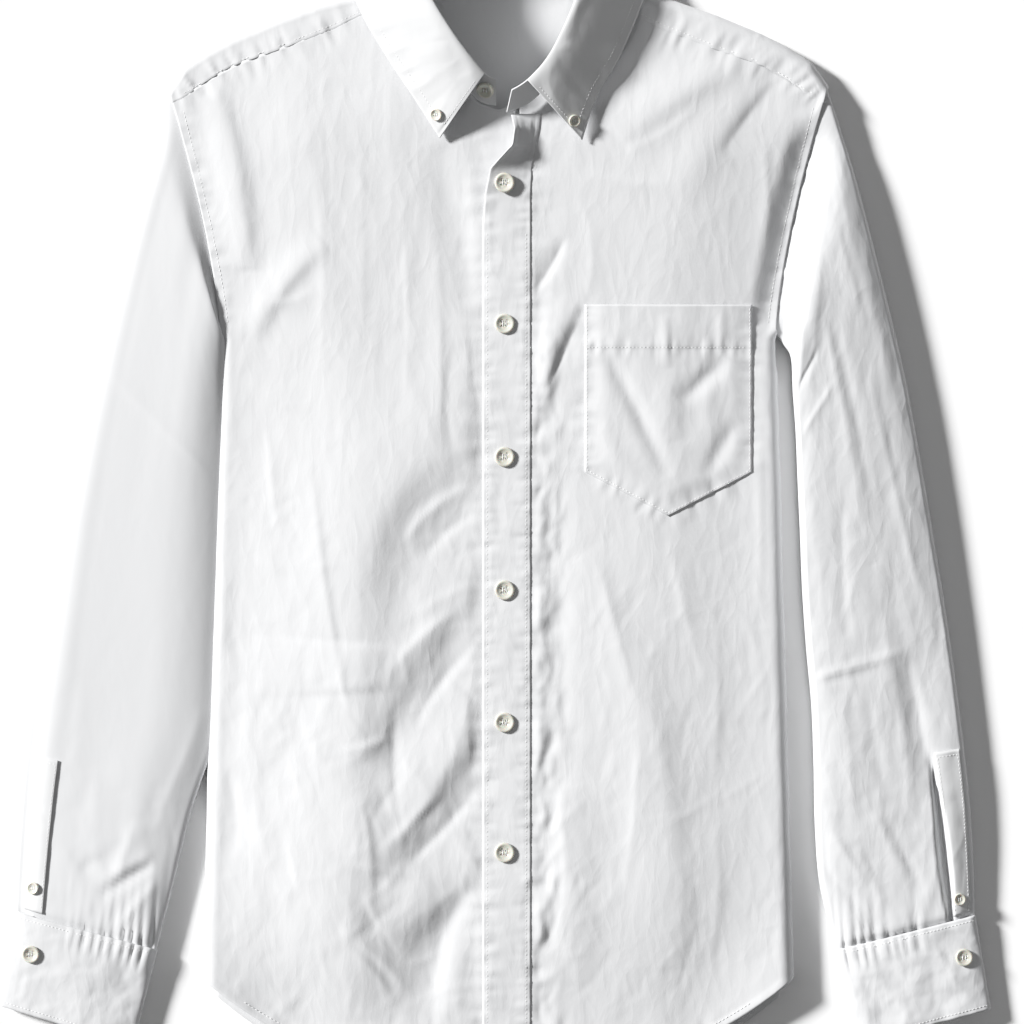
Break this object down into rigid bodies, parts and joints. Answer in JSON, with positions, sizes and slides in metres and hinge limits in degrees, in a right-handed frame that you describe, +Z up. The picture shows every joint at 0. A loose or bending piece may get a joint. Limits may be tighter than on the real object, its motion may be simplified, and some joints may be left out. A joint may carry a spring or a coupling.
{
  "type": "crumpled poplin shirt laid flat",
  "caption": "White long-sleeved poplin shirt with a button-down collar and a chest pocket, lying creased on its back, its sides folded under.",
  "frame": {"origin": "middle of the footprint, on the surface that the shirt lies on", "axes": "+Y towards the collar, +X towards the wearer's left sleeve, +Z up from the surface, out of the shirt's front"},
  "size_m": [0.6946, 0.8186, 0.0497],
  "materials": {
    "poplin": "matte plain weave, creased",
    "button": "cream, softly polished"
  },
  "bodies": {
    "root": {"front_left": "poplin", "front_right": "poplin", "back": "poplin", "yoke": "poplin", "sleeve_left": "poplin", "sleeve_right": "poplin", "cuff_left": "poplin", "cuff_right": "poplin", "collar_stand": "poplin", "collar_leaf": "poplin", "front_placket": "poplin", "chest_pocket": "poplin", "sleeve_placket_left": "poplin", "sleeve_placket_right": "poplin", "button_front_1": "button", "button_front_2": "button", "button_front_3": "button", "button_front_4": "button", "button_front_5": "button", "button_front_6": "button", "button_band": "button", "button_collar_left": "button", "button_collar_right": "button", "button_cuff_left": "button", "button_cuff_right": "button", "button_sleeve_left": "button", "button_sleeve_right": "button"}
  },
  "joints": []
}
